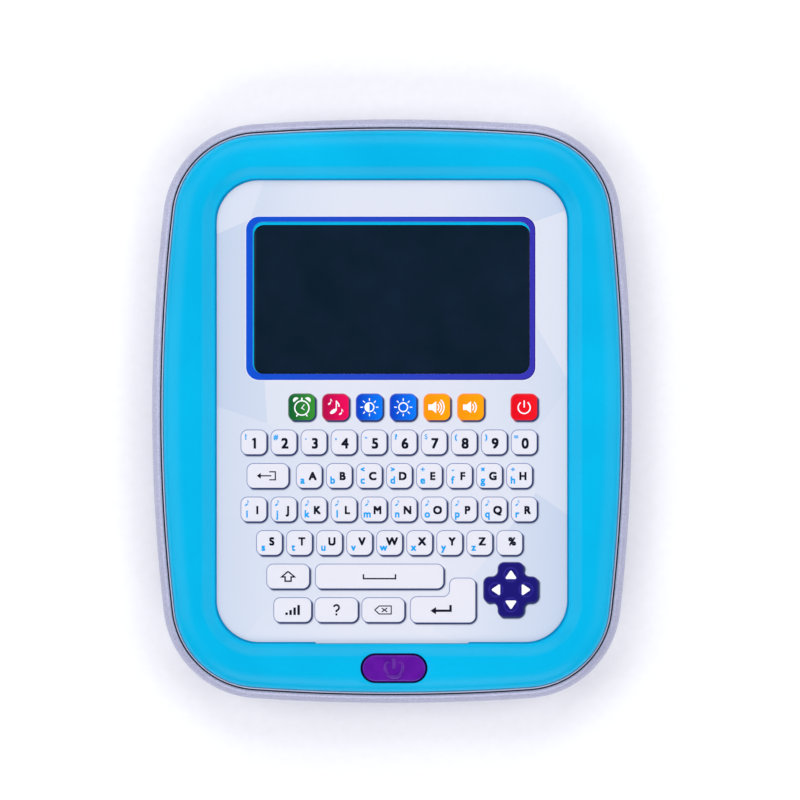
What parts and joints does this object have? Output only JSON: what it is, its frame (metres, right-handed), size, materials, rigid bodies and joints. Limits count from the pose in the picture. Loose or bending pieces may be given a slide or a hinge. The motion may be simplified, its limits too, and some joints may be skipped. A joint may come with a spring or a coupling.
{
  "type": "toy learning tablet",
  "caption": "Flat toy learning tablet with a display window, an embossed membrane keypad, a sprung power button and a battery door in its back.",
  "frame": {"origin": "under the middle of the tablet, on the surface that it rests on", "axes": "+Z out of the keypad and display, +Y from the keypad towards the display, +X to the right of someone using it"},
  "size_m": [0.1924, 0.234, 0.0262],
  "materials": {
    "silver_abs": "silver metallic-look ABS, satin",
    "trim_abs": "light silver ABS, glossy",
    "cyan_abs": "high-gloss moulded ABS",
    "printed_film": "embossed PET film printed on its back, satin",
    "clear_film": "PET sheet with printed silver circuit",
    "tinted_acrylic": "dark tinted acrylic, polished",
    "display_glass": "two bonded glass plates",
    "white_plastic": "white ABS",
    "contact_rubber": "layered silicone",
    "circuit_board": "glass-fibre board with green solder mask",
    "component_plastic": "black epoxy",
    "cream_nylon": "nylon",
    "steel": "zinc-plated steel",
    "spring_steel": "nickel-plated spring steel",
    "purple_abs": "translucent-looking purple ABS, glossy",
    "grey_silicone": "silicone",
    "cell_jacket": "printed shrink sleeve over a steel can",
    "black_foam": "closed-cell foam",
    "black_paper": "pressed paper",
    "magnet_steel": "plated steel cup over a magnet",
    "black_rubber": "rubber",
    "red_pvc": "red PVC wire insulation",
    "black_pvc": "black PVC wire insulation",
    "pale_pvc": "pale PVC wire insulation"
  },
  "bodies": {
    "housing": {"back_housing": "silver_abs", "trim_ring": "trim_abs", "front_bezel": "cyan_abs", "keypad_film": "printed_film", "membrane_top_sheet": "clear_film", "membrane_spacer": "clear_film", "membrane_bottom_sheet": "clear_film", "display_lens": "tinted_acrylic", "display_glass": "display_glass", "display_holder": "white_plastic", "contact_strips": "contact_rubber", "main_board": "circuit_board", "board_components": "component_plastic", "chip_cover": "component_plastic", "membrane_connector": "cream_nylon", "board_screws": "steel", "button_dome": "grey_silicone", "switch_board": "circuit_board", "switch_board_screws": "steel", "battery_1": "cell_jacket", "battery_2": "cell_jacket", "battery_3": "cell_jacket", "battery_springs": "spring_steel", "battery_contacts": "spring_steel", "speaker_gasket": "black_foam", "speaker_frame": "steel", "speaker_cone": "black_paper", "speaker_magnet": "magnet_steel", "speaker_screws": "steel", "housing_screws": "steel", "rubber_feet": "black_rubber", "battery_lead_positive": "red_pvc", "battery_lead_negative": "black_pvc", "switch_leads": "pale_pvc", "speaker_leads": "pale_pvc"},
    "battery_door": {"battery_door": "silver_abs", "battery_door_screw": "steel"},
    "power_button": {"power_button": "purple_abs"}
  },
  "joints": [
    {"name": "power_button_slide", "type": "slide", "parent": "housing", "child": "power_button", "axis": [0, 0, -1], "range_m": [0, 0.0012], "stiffness_N_per_m": 900, "springref_m": -0.0008, "deforming": ["button_dome"]},
    {"name": "battery_door_hinge", "type": "hinge", "parent": "housing", "child": "battery_door", "pos_m": [0, -0.0629, 0.0012], "axis": [-1, 0, 0], "range_deg": [0, 45]}
  ]
}
